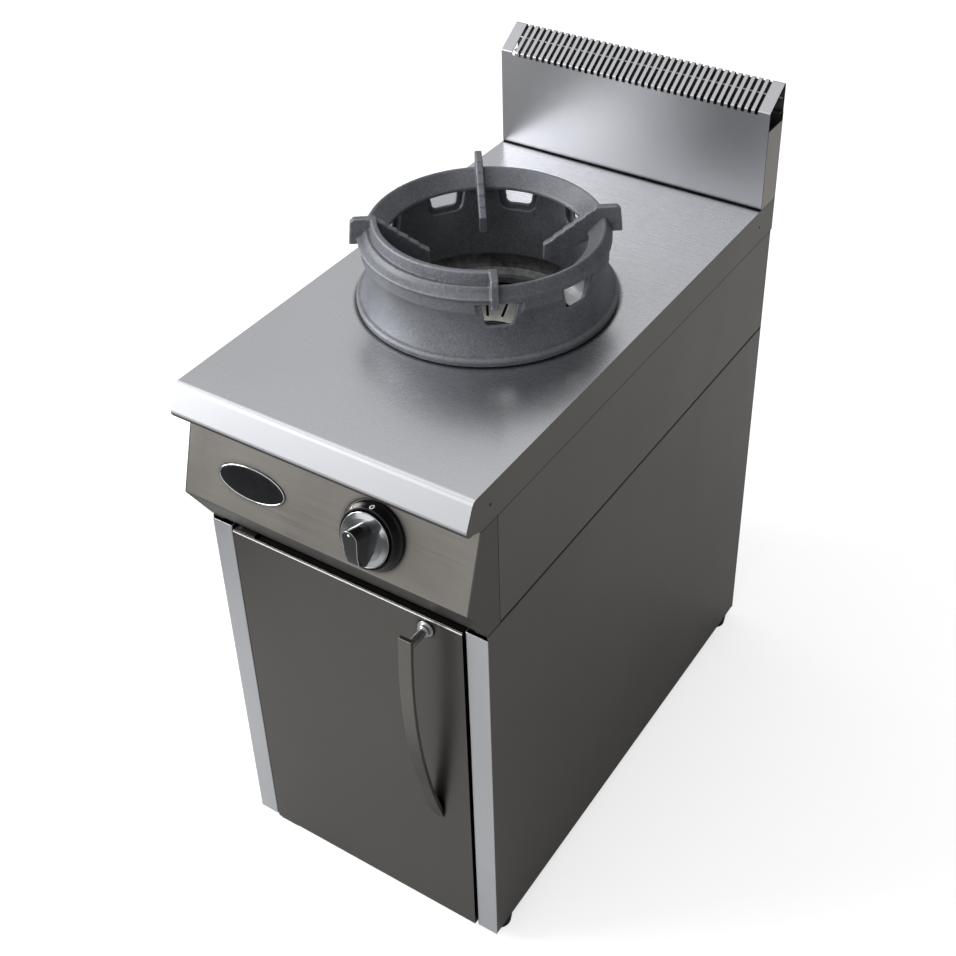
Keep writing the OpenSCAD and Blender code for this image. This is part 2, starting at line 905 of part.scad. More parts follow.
// Opening in the wall, wider at its top, drawn out from radius r0 to r1 and widened by a margin
module window(r0, r1, margin) {
    low = window_low_h - margin;
    low_half = window_low_w / 2 + margin;
    top_half = window_top_w / 2 + margin;
    path = [[-top_half, window_top_h], [-low_half, low], [low_half, low], [top_half, window_top_h]];
    along_x(r0, r1) polygon(rounded(path, window_round + margin, window_round + margin));
}

module wok_ring() {
    inner_r = bowl_r - skirt_gap - skirt_t - window_in;
    outer_r = ring_r + overrun;
    color(iron) translate([0, ring_y, worktop_h]) {
        difference() {
            ring_wall();
            for (i = [0 : window_count - 1])
                rotate([0, 0, window_turn + i * window_pitch]) {
                    window(inner_r, outer_r, 0);
                    window(inner_r, ring_r - inner_pocket_in, pocket);
                    window(ring_r - pocket_in, outer_r, pocket);
                }
        }
        ring_guard();
        for (i = [0 : 3])
            rotate([0, 0, prong_turn + i * 90]) prong();
    }
}

// Flue behind the worktop

module flue_hood() {
    front_z = worktop_h + hood_front_h;
    ridge_z = worktop_h + hood_ridge_h;
    path = [[rear_in_y, worktop_h + hood_lip_h], [rear_in_y, ridge_z], [flue_y, front_z], [flue_y, worktop_h],
        [flue_y + hood_foot, worktop_h]];
    slot = [[flue_y - overrun, front_z - hood_wrap], [flue_y + hood_wrap, front_z - hood_wrap],
        [rear_in_y - hood_wrap, ridge_z - hood_wrap], [rear_y, ridge_z - hood_wrap],
        [rear_y, ridge_z + overrun], [flue_y - overrun, ridge_z + overrun]];
    foot_end = half_w - hood_foot_end;
    color(steel) difference() {
        along_x(-half_w, half_w) fold(path, sheet, fold_r);
        for (i = [0 : hood_slots - 1]) {
            x = (i - (hood_slots - 1) / 2) * hood_pitch;
            along_x(x - hood_slot_w / 2, x + hood_slot_w / 2) polygon(slot);
        }
        for (x = [-half_w - overrun, foot_end])
            box([x, flue_y + sheet, worktop_h - overrun],
                [x + hood_foot_end + overrun, flue_y + hood_foot + overrun, worktop_h + sheet + fold_r]);
    }
}

module flue_rear() {
    top = worktop_h + hood_lip_h;
    path = [[rear_y, worktop_h], [rear_y, top], [rear_y - rear_flange, top]];
    color(dark_steel) along_x(-half_w, half_w) fold(path, sheet, fold_r);
}

module flue_end() {
    box([half_w - sheet, flue_y + sheet, worktop_h], [half_w, rear_in_y, worktop_h + flue_end_h]);
}

module flue_right_end() {
    color(warm_steel) flue_end();
}

module flue_left_end() {
    color(warm_steel) mirrored() flue_end();
}

module flue_stay() {
    color(steel) rod_x(-half_w + sheet, half_w - sheet, rear_in_y - sheet - stay_r,
        worktop_h + hood_ridge_h - stay_drop, stay_r);
}

// Door, hung on the left post's side

module hinge_plate(low) {
    color(steel) difference() {
        box([hinge_x - plate_margin, hinge_y - plate_margin, low],
            [hinge_x + plate_reach, hinge_y - plate_margin + plate_d, low + hinge_plate_t]);
        rod_z(low - overrun, low + hinge_plate_t + overrun, hinge_x, hinge_y, pin_r + running);
    }
}

module lower_hinge_plate() {
    hinge_plate(foot_h - hinge_plate_t);
}

module upper_hinge_plate() {
    hinge_plate(post_top - hinge_plate_t);
}

module door_catch() {
    front = door_back_y + strike_t + loose;
    color(black) box([catch_x - catch_w / 2, front, post_top - catch_h],
        [catch_x + catch_w / 2, front + catch_d, post_top]);
}

module strike_plate() {
    color(steel) box([catch_x - catch_w / 2, door_back_y, bar_top - strike_h],
        [catch_x + catch_w / 2, door_back_y + strike_t, bar_top]);
}

module door_skin() {
    color(dark_steel) difference() {
        box([door_left, door_y, door_low], [door_right, door_back_y, door_top]);
        box([door_left + sheet, door_y + sheet, door_low + sheet],
            [door_right - sheet, door_back_y + overrun, door_top - sheet]);
        rod_z(door_low - overrun, door_top + overrun, hinge_x, hinge_y, pin_r + running);
    }
}

module door_liner() {
    color(steel) box([door_left + sheet, door_back_y - sheet, door_low + sheet],
        [door_right - sheet, door_back_y, door_top - sheet]);
}

module hinge_pins() {
    low_face = door_low + sheet;
    top_face = door_top - sheet;
    color(steel) {
        rod_z(foot_h - hinge_plate_t, low_face + pin_collar_t, hinge_x, hinge_y, pin_r);
        rod_z(low_face, low_face + pin_collar_t, hinge_x, hinge_y, pin_collar_r);
        rod_z(top_face - pin_collar_t, post_top - running, hinge_x, hinge_y, pin_r);
        rod_z(top_face - pin_collar_t, top_face, hinge_x, hinge_y, pin_collar_r);
    }
}

// Bowed bar: its lower end runs into the door, its upper end stands on the stud
module handle_bar() {
    left = handle_x - bar_w / 2;
    right = handle_x + bar_w / 2;
    color(dark_steel) intersection() {
        difference() {
            rod_x(left, right, bow_y, bow_z, bow_r, $fn = bow_facets);
            rod_x(left - overrun, right + overrun, bow_y, bow_z, bow_r - bar_t, $fn = bow_facets);
        }
        box([left - overrun, door_y - bow_out - overrun, door_low], [right + overrun, door_y, bar_top]);
    }
}

module handle_stud() {
    color(dark_steel) {
        rod_y(door_y - rosette_t, door_y, handle_x, stud_z, rosette_r);
        rod_y(door_y - collar_t, door_y, handle_x, stud_z, collar_r);
        intersection() {
            rod_y(door_y - bow_out, door_y, handle_x, stud_z, stud_r);
            rod_x(handle_x - bar_w, handle_x + bar_w, bow_y, bow_z, bow_r - bar_t, $fn = bow_facets);
        }
    }
}

base_pan();
left_side_panel();
right_side_panel();
rear_panel();
left_post();
right_post();
door_header();
left_upper_side();
right_upper_side();
divider_shelf();
fascia();
left_end_cap();
right_end_cap();
worktop();
worktop_screws();
drip_bowl();
burner_bracket();
burner_body();
burner_head();
pilot_burner();
thermocouple();
injector();
gas_valve();
valve_plug();
valve_spindle();
knob_body();
knob_plate();
bezel();
inlet_pipe();
burner_pipe();
pilot_pipe();
gas_inlet();
wok_ring();
flue_hood();
flue_rear();
flue_left_end();
flue_right_end();
flue_stay();
foot_front_left();
foot_front_right();
foot_rear_left();
foot_rear_right();
lower_hinge_plate();
upper_hinge_plate();
door_catch();
door_skin();
door_liner();
hinge_pins();
strike_plate();
handle_bar();
handle_stud();
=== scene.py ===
import json
from math import cos, pi, radians, sin

import bmesh
import bpy
from mathutils import Matrix, Vector


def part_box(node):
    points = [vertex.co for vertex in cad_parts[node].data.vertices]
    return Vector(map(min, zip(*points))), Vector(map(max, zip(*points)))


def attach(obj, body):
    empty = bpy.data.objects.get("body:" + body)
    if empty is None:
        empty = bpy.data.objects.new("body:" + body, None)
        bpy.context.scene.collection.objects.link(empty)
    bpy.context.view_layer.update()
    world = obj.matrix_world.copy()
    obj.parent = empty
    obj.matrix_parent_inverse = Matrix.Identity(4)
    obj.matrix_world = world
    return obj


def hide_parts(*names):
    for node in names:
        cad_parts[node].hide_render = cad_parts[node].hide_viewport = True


# Looks, fine pieces, camera and light for the wok burner. Metres, in the part's own frame.

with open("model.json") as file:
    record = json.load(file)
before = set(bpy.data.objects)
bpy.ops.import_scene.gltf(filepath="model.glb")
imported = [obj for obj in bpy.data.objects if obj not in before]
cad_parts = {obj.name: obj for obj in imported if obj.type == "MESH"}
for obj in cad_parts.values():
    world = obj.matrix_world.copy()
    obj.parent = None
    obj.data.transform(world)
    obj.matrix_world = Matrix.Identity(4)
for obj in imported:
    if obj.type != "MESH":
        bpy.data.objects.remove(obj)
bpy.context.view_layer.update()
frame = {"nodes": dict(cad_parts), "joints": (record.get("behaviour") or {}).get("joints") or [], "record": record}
record = frame["record"]
MM = 0.001

# Which body and material slot each node has

body_of = {node: body for body, members in record["behaviour"]["bodies"].items() for node in members}
slot_of = {part["node"]: part["material_slot"] for part in record["subparts"]}
joint = {j["name"]: j for j in frame["joints"]}

# Places read from the frame

front_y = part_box("right_post")[0].y


def panel_matrix():
    """Frame on the sloped panel at the knob: X to the right, Y up the panel, Z out of it."""
    out = Vector(joint["knob_turn"]["axis"])
    right = Vector((1, 0, 0))
    up = out.cross(right)
    turned = Matrix((right, up, out)).transposed().to_4x4()
    return Matrix.Translation(joint["knob_turn"]["pos_m"]) @ turned


PANEL = panel_matrix()

# Building blocks for the materials


class Shader:
    """A node material with short calls for the nodes used here."""

    def __init__(self, name):
        self.material = bpy.data.materials.new(name)
        self.material.use_nodes = True
        self.tree = self.material.node_tree
        self.surface = self.tree.nodes["Principled BSDF"]
        self.place = self.add("ShaderNodeTexCoord").outputs["Object"]

    def add(self, kind, **settings):
        node = self.tree.nodes.new(kind)
        for name, value in settings.items():
            setattr(node, name, value)
        return node

    def link(self, source, target):
        self.tree.links.new(source, target)

    def noise(self, stretch, detail, roughness=0.55):
        """Noise over the object's own coordinates, stretched by three scales, as a value from 0 to 1."""
        mapping = self.add("ShaderNodeMapping")
        mapping.inputs["Scale"].default_value = stretch
        self.link(self.place, mapping.inputs["Vector"])
        texture = self.add("ShaderNodeTexNoise")
        texture.inputs["Scale"].default_value = 1.0
        texture.inputs["Detail"].default_value = detail
        texture.inputs["Roughness"].default_value = roughness
        self.link(mapping.outputs["Vector"], texture.inputs["Vector"])
        return texture.outputs["Fac"]

    def even_noise(self, scale, detail, roughness=0.55):
        """Noise with one scale in all directions."""
        return self.noise((scale, scale, scale), detail, roughness)

    def spread(self, value, low, high, from_low=0.3, from_high=0.7):
        """A value between two bounds, by default those of most noise, spread over low to high."""
        node = self.add("ShaderNodeMapRange")
        node.inputs["From Min"].default_value = from_low
        node.inputs["From Max"].default_value = from_high
        node.inputs["To Min"].default_value = low
        node.inputs["To Max"].default_value = high
        self.link(value, node.inputs["Value"])
        return node.outputs["Result"]

    def between(self, value, *colours):
        """A colour from the first to the last of evenly spaced ones as the value goes from 0 to 1."""
        ramp = self.add("ShaderNodeValToRGB")
        stops = ramp.color_ramp.elements
        for i in range(1, len(colours) - 1):
            stops.new(i / (len(colours) - 1))
        for stop, colour in zip(stops, colours):
            stop.color = (*colour, 1)
        self.link(value, ramp.inputs["Fac"])
        return ramp.outputs["Color"]

    def upward(self):
        """How far the surface faces up: 1 for a floor, -1 for a ceiling."""
        axes = self.add("ShaderNodeSeparateXYZ")
        self.link(self.add("ShaderNodeNewGeometry").outputs["Normal"], axes.inputs["Vector"])
        return axes.outputs["Z"]

    def openness(self, reach):
        """How open the surroundings are within a reach: 1 on a free face, less in seams and corners."""
        node = self.add("ShaderNodeAmbientOcclusion")
        node.samples = 8
        node.inputs["Distance"].default_value = reach
        return node.outputs["AO"]

    def total(self, a, b):
        node = self.add("ShaderNodeMath", operation="ADD")
        self.link(a, node.inputs[0])
        self.link(b, node.inputs[1])
        return node.outputs["Value"]

    def bump(self, height, strength, depth):
        node = self.add("ShaderNodeBump")
        node.inputs["Strength"].default_value = strength
        node.inputs["Distance"].default_value = depth
        self.link(height, node.inputs["Height"])
        self.link(node.outputs["Normal"], self.surface.inputs["Normal"])

    def set(self, **values):
        for name, value in values.items():
            self.surface.inputs[name.replace("_", " ")].default_value = value

    def colour(self, source):
        self.link(source, self.surface.inputs["Base Color"])

    def roughness(self, source):
        self.link(source, self.surface.inputs["Roughness"])


def shade(colour, factor):
    return tuple(min(1.0, c * factor) for c in colour)


def brushed_steel(name, colour, grain, rough, streak=0.22):
    """Brushed sheet: fine streaks along the grain, broad clouds, faint smears, and painted shade on undersides and
    in seams.
    """
    s = Shader(name)
    s.set(Metallic=1.0)
    fine = 1400.0
    along = 9.0
    seam_reach = 8 * MM
    painted_shade_depth = -0.8
    stretch = tuple(along if axis == grain else fine for axis in "XYZ")
    streaks = s.noise(stretch, detail=3.0)
    clouds = s.even_noise(2.2, detail=2.0)
    smears = s.noise((11.0, 11.0, 4.0), detail=5.0, roughness=0.65)
    tone = s.total(s.spread(streaks, -streak / 2, streak / 2), s.spread(clouds, 0.6, 0.9))
    # Painted shade: faces turned down are darkened in the colour.
    under = s.spread(s.upward(), painted_shade_depth, 0.0, from_low=-0.2, from_high=-0.01)
    # Painted shade: seams and inner corners are darkened where the surroundings close in.
    seam = s.spread(s.openness(seam_reach), painted_shade_depth, 0.0, from_low=0.7, from_high=1.0)
    tone = s.total(tone, s.total(under, seam))
    s.colour(s.between(tone, shade(colour, 0.2), shade(colour, 0.9), shade(colour, 1.1)))
    dull = s.spread(smears, rough - streak / 6, rough + streak / 4)
    s.roughness(s.total(s.spread(streaks, -streak / 4, streak / 4), dull))
    s.bump(streaks, 0.5 * streak, 0.05 * MM)
    return s.material


def cast_iron(name, colour, rough=0.5):
    """Coated casting: sand grain, shallow dents, paler edges that are partly wear and partly painted highlight,
    and inner corners darkened as painted shade.
    """
    s = Shader(name)
    s.set(Metallic=0.35)
    sand = s.even_noise(330.0, detail=5.0, roughness=0.7)
    dents = s.even_noise(95.0, detail=3.0)
    clouds = s.even_noise(14.0, detail=3.0)
    pointiness = s.add("ShaderNodeNewGeometry").outputs["Pointiness"]
    # Paler on convex edges (wear and painted highlight), darker in inner corners (painted shade).
    edge = s.spread(pointiness, -0.5, 0.5, from_low=0.45, from_high=0.55)
    tone = s.total(s.total(s.spread(clouds, 0.25, 0.6), edge), s.spread(sand, -0.3, 0.35))
    s.colour(s.between(tone, shade(colour, 0.6), shade(colour, 1.8)))
    s.roughness(s.spread(sand, rough - 0.08, rough + 0.1))
    relief = s.total(s.spread(sand, 0.0, 0.6), s.spread(dents, 0.0, 0.8))
    s.bump(relief, 0.6, 0.6 * MM)
    return s.material


def moulded_plastic(name, colour, rough):
    """Moulded plastic: a fine orange peel with faint scuffs."""
    s = Shader(name)
    peel = s.even_noise(850.0, detail=2.0)
    scuffs = s.even_noise(60.0, detail=6.0, roughness=0.75)
    s.set(Specular_IOR_Level=0.3)
    s.colour(s.between(scuffs, shade(colour, 0.85), shade(colour, 1.3)))
    s.roughness(s.spread(scuffs, rough - 0.08, rough + 0.12))
    s.bump(peel, 0.08, 0.1 * MM)
    return s.material


def polished_metal(name, colour, rough):
    """Polished metal with a faint haze of wipe marks."""
    s = Shader(name)
    s.set(Metallic=1.0)
    wipes = s.noise((40.0, 240.0, 90.0), detail=4.0)
    clouds = s.even_noise(30.0, detail=2.0)
    s.colour(s.between(clouds, shade(colour, 0.95), shade(colour, 1.04)))
    s.roughness(s.spread(wipes, rough, rough + 0.1))
    s.bump(wipes, 0.03, 0.05 * MM)
    return s.material


def steel_black_to_bare(name, colour, rough, black_x, bare_x):
    """Spun steel with uneven roughness: near-black left of one X, bare right of another."""
    s = Shader(name)
    s.set(Metallic=0.6)
    axes = s.add("ShaderNodeSeparateXYZ")
    s.link(s.place, axes.inputs["Vector"])
    patches = s.even_noise(24.0, detail=5.0, roughness=0.7)
    spun = s.noise((30.0, 30.0, 700.0), detail=2.0)
    across = s.spread(axes.outputs["X"], 0.1, 0.9, from_low=black_x, from_high=bare_x)
    bare = s.total(across, s.spread(patches, -0.1, 0.1))
    s.colour(s.between(bare, shade(colour, 0.02), shade(colour, 0.5), colour))
    s.roughness(s.spread(patches, rough - 0.04, rough + 0.12))
    s.bump(spun, 0.06, 0.05 * MM)
    return s.material


def turned_brass(name, colour, rough=0.32):
    """Turned brass: fine tool rings and tarnish."""
    s = Shader(name)
    s.set(Metallic=1.0)
    rings = s.noise((60.0, 900.0, 60.0), detail=2.0)
    tarnish = s.even_noise(70.0, detail=5.0)
    s.colour(s.between(tarnish, shade(colour, 0.7), shade(colour, 1.1)))
    s.roughness(s.spread(tarnish, rough - 0.06, rough + 0.14))
    s.bump(rings, 0.1, 0.1 * MM)
    return s.material


# The finishes

# The sheet steels are lighter and darker copies of one stainless steel, set face by face: partly the sheets' own
# finish, partly painted light and shade from how light falls on each face.
STEEL_TOP = (0.58, 0.585, 0.61)
STEEL_POST = (0.61, 0.62, 0.65)
STEEL_PANEL = (0.385, 0.365, 0.337)
STEEL_UPPER = (0.215, 0.203, 0.186)
STEEL_SIDE = (0.205, 0.195, 0.183)
STEEL_DOOR = (0.134, 0.127, 0.118)
STEEL_INNER = (0.42, 0.42, 0.42)
STEEL_HANDLE = (0.195, 0.186, 0.172)
IRON = (0.102, 0.107, 0.12)
# On the drip bowl the black left of these X is painted shade on that side of the bowl.
BOWL_BLACK_X = 20 * MM
BOWL_BARE_X = 50 * MM
# The whole part lies to the left of this X, so the black that ends there covers all of a piece
PAST_PART_X = 1.0

top_across = brushed_steel("worktop_steel", STEEL_TOP, "X", 0.27, 0.04)
# Painted shade and light: darker copies of a steel for the nose, hood front, slope bars and end caps, and a
# lighter copy for the flue's end sheets.
nose_across = brushed_steel("nose_steel", shade(STEEL_TOP, 0.78), "X", 0.62, 0.04)
hood_across = brushed_steel("hood_steel", shade(STEEL_TOP, 0.74), "X", 0.36, 0.06)
bar_across = brushed_steel("hood_bar_steel", shade(STEEL_TOP, 0.62), "X", 0.36, 0.06)
panel_across = brushed_steel("panel_steel_across", STEEL_PANEL, "X", 0.34, 0.12)
panel_along = brushed_steel("panel_steel_along", STEEL_UPPER, "Y", 0.34, 0.12)
cap_along = brushed_steel("cap_steel", shade(STEEL_UPPER, 0.8), "Y", 0.36, 0.12)
flue_along = brushed_steel("flue_steel", shade(STEEL_UPPER, 2.0), "Y", 0.34, 0.12)
side_along = brushed_steel("side_steel_along", STEEL_SIDE, "Y", 0.34, 0.12)
side_upright = brushed_steel("side_steel_upright", STEEL_DOOR, "Z", 0.34, 0.12)
post_upright = brushed_steel("post_steel", STEEL_POST, "Z", 0.4, 0.16)
painted_highlight_edge = polished_metal("painted_highlight_edge", (0.95, 0.95, 0.96), 0.16)
inner_across = brushed_steel("inner_steel", STEEL_INNER, "X", 0.42)
handle_upright = brushed_steel("handle_steel", STEEL_HANDLE, "Z", 0.32)
hinge_steel = brushed_steel("hinge_steel", shade(STEEL_SIDE, 0.6), "X", 0.45)
# Drip bowl: dark on its left as painted shade.
bowl_steel_painted_shade = steel_black_to_bare("bowl_steel_painted_shade", (0.95, 0.96, 0.98), 0.3, BOWL_BLACK_X, BOWL_BARE_X)
near_black_steel = steel_black_to_bare("near_black_steel", (0.3, 0.3, 0.31), 0.5, PAST_PART_X, 2 * PAST_PART_X)
stud_steel = polished_metal("stud_steel", (0.45, 0.45, 0.46), 0.28)
iron = cast_iron("coated_iron", IRON)
burner_face = brushed_steel("burner_face", (0.74, 0.73, 0.69), "X", 0.36)
brass = turned_brass("brass", (0.62, 0.46, 0.22))
chrome = polished_metal("chrome", (0.52, 0.53, 0.55), 0.05)
black_plastic = moulded_plastic("black_plastic", (0.008, 0.008, 0.009), 0.16)
foot_rubber = moulded_plastic("foot_rubber", (0.016, 0.016, 0.017), 0.6)
white_paint = moulded_plastic("white_paint", (0.8, 0.8, 0.8), 0.4)

finish_of_slot = {
    "worktop_steel": top_across,
    "panel_steel": panel_along,
    "side_steel": side_along,
    "post_steel": post_upright,
    "inner_steel": inner_across,
    "handle_steel": handle_upright,
    "iron": iron,
    "burner_iron": burner_face,
    "brass": brass,
    "chrome": chrome,
    "black_plastic": black_plastic,
}
FEET = ("foot_front_left", "foot_front_right", "foot_rear_left", "foot_rear_right")
finish_of_node = {
    "fascia": panel_across,
    "door_skin": side_upright,
    "rear_panel": side_upright,
    "flue_rear": side_upright,
    "flue_left_end": flue_along,
    "flue_right_end": flue_along,
    "handle_stud": stud_steel,
    "drip_bowl": bowl_steel_painted_shade,
    "lower_hinge_plate": hinge_steel,
    "upper_hinge_plate": hinge_steel,
    "door_header": hinge_steel,
    "worktop_screws": near_black_steel,
    "left_end_cap": cap_along,
    "right_end_cap": cap_along,
    **{foot: foot_rubber for foot in FEET},
}


def finish_for(node):
    return finish_of_node.get(node, finish_of_slot[slot_of[node]])


for node, shape in frame["nodes"].items():
    for place in shape.material_slots:
        place.material = finish_for(node)

# Pieces made from the frame's nodes, with the rounded edges of real sheet and castings


def piece(name, mesh, finish, body):
    """A new piece that rides on a body."""
    shape = bpy.data.objects.new(name, mesh)
    bpy.context.scene.collection.objects.link(shape)
    mesh.materials.clear()
    mesh.materials.append(finish)
    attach(shape, body)
    return shape


def clean_copy(node):
    """The node's mesh with its doubled corners joined and its flat faces merged."""
    join_within = 0.002 * MM
    flat_within = radians(0.6)
    mesh = frame["nodes"][node].data.copy()
    work = bmesh.new()
    work.from_mesh(mesh)
    bmesh.ops.remove_doubles(work, verts=work.verts, dist=join_within)
    bmesh.ops.dissolve_limit(work, angle_limit=flat_within, verts=work.verts, edges=work.edges)
    work.to_mesh(mesh)
    work.free()
    return mesh


SHEET_EDGE = 0.5 * MM
BAR_EDGE = 0.9 * MM
MOULDED_EDGE = 0.8 * MM
SHARP_FROM = radians(32)
# A face is square to an axis when its normal has at least this share along it
SQUARE_ON = 0.9


def edged(node, width, segments=2):
    """The node with its edges rounded to a width, shown in its place."""
    shape = piece(node + "_edged", clean_copy(node), finish_for(node), body_of[node])
    bevel = shape.modifiers.new("edges", "BEVEL")
    bevel.width = width
    bevel.segments = segments
    bevel.limit_method = "ANGLE"
    bevel.angle_limit = SHARP_FROM
    shape.data.shade_smooth()
    smooth = shape.modifiers.new("normals", "WEIGHTED_NORMAL")
    smooth.keep_sharp = False
    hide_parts(node)
    return shape


for node in ("left_side_panel", "right_side_panel", "fascia", "left_post", "right_post", "rear_panel",
             "lower_hinge_plate", "upper_hinge_plate", "worktop_screws"):
    edged(node, SHEET_EDGE)
for node in ("door_skin", "handle_bar", "handle_stud", "burner_head"):
    edged(node, BAR_EDGE, 3)
for node in ("bezel", *FEET):
    edged(node, MOULDED_EDGE, 3)


def refinish(shape, finish, chosen):
    """Gives another finish to the faces that are chosen by their middle and their normal."""
    shape.data.materials.append(finish)
    for face in shape.data.polygons:
        if chosen(face.center, face.normal):
            face.material_index = len(shape.data.materials) - 1


def flange_low():
    """Height of the lower edge of the worktop's flanges."""
    low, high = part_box("worktop")
    mesh = frame["nodes"]["worktop"].data
    middle_y = (low.y + high.y) / 2
    outermost = high.x - 0.1 * MM
    flat_on = 0.99
    flange = [face for face in mesh.polygons if face.normal.x > flat_on and face.center.x > outermost]
    return min(mesh.vertices[i].co.z for face in flange for i in face.vertices
               if mesh.vertices[i].co.y > middle_y)


def lapped_piece(node):
    """Side sheet whose top is lapped by the worktop's flange, with a painted shadow in the narrow seam under it.
    """
    seam_h = 3.6 * MM
    seam_z = flange_low() - seam_h
    shape = edged(node, SHEET_EDGE)
    work = bmesh.new()
    work.from_mesh(shape.data)
    bmesh.ops.bisect_plane(work, geom=work.verts[:] + work.edges[:] + work.faces[:],
                           plane_co=(0, 0, seam_z), plane_no=(0, 0, 1))
    work.to_mesh(shape.data)
    work.free()
    # Painted shadow: the outer faces just under the flange take the near-black steel.
    refinish(shape, near_black_steel, lambda middle, normal: middle.z > seam_z and abs(normal.x) > SQUARE_ON)


for node in ("left_upper_side", "right_upper_side", "left_end_cap", "right_end_cap"):
    lapped_piece(node)


def worktop_piece():
    """Worktop with a rougher nose in a darker copy of its steel, and flanges in the upper sides' darker steel,
    both painted shade.
    """
    nose_lean = 0.5
    shape = edged("worktop", SHEET_EDGE)
    # Painted shade: the nose takes a darker steel.
    refinish(shape, nose_across, lambda middle, normal: normal.y < -nose_lean)
    # Painted shade: the flanges take the upper sides' darker steel.
    refinish(shape, panel_along, lambda middle, normal: abs(normal.x) > SQUARE_ON)


worktop_piece()


def flue_sheets():
    """Rear and end sheets of the flue, near-black on their inner faces."""
    refinish(edged("flue_rear", SHEET_EDGE), near_black_steel, lambda middle, normal: normal.y < -SQUARE_ON)
    refinish(edged("flue_left_end", SHEET_EDGE), near_black_steel, lambda middle, normal: normal.x > SQUARE_ON)
    refinish(edged("flue_right_end", SHEET_EDGE), near_black_steel, lambda middle, normal: normal.x < -SQUARE_ON)


flue_sheets()


def hood_piece():
    """Flue hood with its front and the bars of its slope in darker copies of the worktop's steel, painting the
    light and shade on them, and its inner faces near-black.
    """
    low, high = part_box("flue_hood")
    skin = 1 * MM
    slope_lean = 0.2
    front = low.y + skin
    back = high.y - skin
    shape = edged("flue_hood", SHEET_EDGE)
    refinish(shape, near_black_steel, lambda middle, normal: front < middle.y < back)
    # Painted light and shade: the slope's bars and the front take steels of their own brightness.
    refinish(shape, bar_across, lambda middle, normal: normal.z > slope_lean)
    refinish(shape, hood_across, lambda middle, normal: middle.y < front and normal.y < -SQUARE_ON)


hood_piece()


def knob_piece():
    """Knob with thin bright lines on its edges."""
    shape = edged("knob_body", MOULDED_EDGE)
    shape.data.materials.append(chrome)
    shape.modifiers["edges"].material = 1


knob_piece()


def add_foot_roll(mesh):
    """Adds a rolled bead round the ring's foot, to be melted into the casting."""
    seat = next(m for m in record["mounts"] if m["name"] == "wok_seat")
    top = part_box("worktop")[1].z
    foot_h = 7 * MM
    roll_r = 5 * MM
    sunk = 4.5 * MM
    around = 160
    steps = 12
    middle = Vector((seat["pos_m"][0], seat["pos_m"][1], top + foot_h))
    foot = [vertex.co - middle for vertex in mesh.vertices if top <= vertex.co.z < middle.z]
    foot_r = max(point.xy.length for point in foot) - sunk
    work = bmesh.new()
    work.from_mesh(mesh)
    loops = []
    for i in range(around):
        turn = 2 * pi * i / around
        spoke = Vector((cos(turn), sin(turn), 0))
        lean = [2 * pi * k / steps for k in range(steps)]
        loop = [middle + (foot_r + roll_r * cos(t)) * spoke + Vector((0, 0, roll_r * sin(t))) for t in lean]
        loops.append([work.verts.new(point) for point in loop])
    for i in range(around):
        one = loops[i]
        two = loops[(i + 1) % around]
        for k in range(steps):
            m = (k + 1) % steps
            work.faces.new((one[k], two[k], two[m], one[m]))
    work.to_mesh(mesh)
    work.free()


def ring_piece():
    """Wok ring with the soft edges and corners of a sand casting."""
    grain = 1.5 * MM
    softening = 0.5
    faces_kept = 0.45
    mesh = clean_copy("wok_ring")
    add_foot_roll(mesh)
    shape = piece("wok_ring_cast", mesh, iron, body_of["wok_ring"])
    skin = shape.modifiers.new("skin", "REMESH")
    skin.mode = "VOXEL"
    skin.voxel_size = grain
    skin.use_smooth_shade = True
    soft = shape.modifiers.new("soft", "SMOOTH")
    soft.factor = softening
    soft.iterations = 1
    light = shape.modifiers.new("light", "DECIMATE")
    light.ratio = faces_kept
    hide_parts("wok_ring")


ring_piece()

# Small pieces that the solids leave out

AROUND = 48


def ellipse(place, half_x, half_y, height):
    """Points of an ellipse round a frame's Z axis."""
    turns = [2 * pi * i / AROUND for i in range(AROUND)]
    return [place @ Vector((half_x * cos(t), half_y * sin(t), height)) for t in turns]


def skinned(name, rings, closed):
    """Mesh through a row of rings; a closed one joins the last ring to the first, another is capped."""
    count = len(rings)
    points = [point for ring in rings for point in ring]
    faces = []
    for k in range(count if closed else count - 1):
        a = k * AROUND
        b = (k + 1) % count * AROUND
        faces += [(a + i, a + (i + 1) % AROUND, b + (i + 1) % AROUND, b + i) for i in range(AROUND)]
    if not closed:
        faces.append(tuple(range(AROUND))[::-1])
        faces.append(tuple(range((count - 1) * AROUND, count * AROUND)))
    mesh = bpy.data.meshes.new(name)
    mesh.from_pydata(points, [], faces)
    mesh.shade_smooth()
    return mesh


def button(name, place, half_x, half_y, height, finish, body):
    """Low oval button with a rounded edge and a slightly domed face."""
    profile = [(1.0, 0.0), (1.0, 0.6), (0.97, 0.85), (0.92, 0.93), (0.6, 0.98), (0.2, 1.0)]
    rings = [ellipse(place, half_x * share, half_y * share, height * up) for share, up in profile]
    piece(name, skinned(name, rings, closed=False), finish, body)


def rim(name, place, half_x, half_y, width, height, finish, body):
    """Oval rim with a rounded top."""
    profile = [(0.0, 0.0), (0.0, 0.7), (0.25, 1.0), (0.75, 1.0), (1.0, 0.7), (1.0, 0.0)]
    rings = [ellipse(place, half_x - width * inward, half_y - width * inward, height * up)
             for inward, up in profile]
    piece(name, skinned(name, rings, closed=True), finish, body)


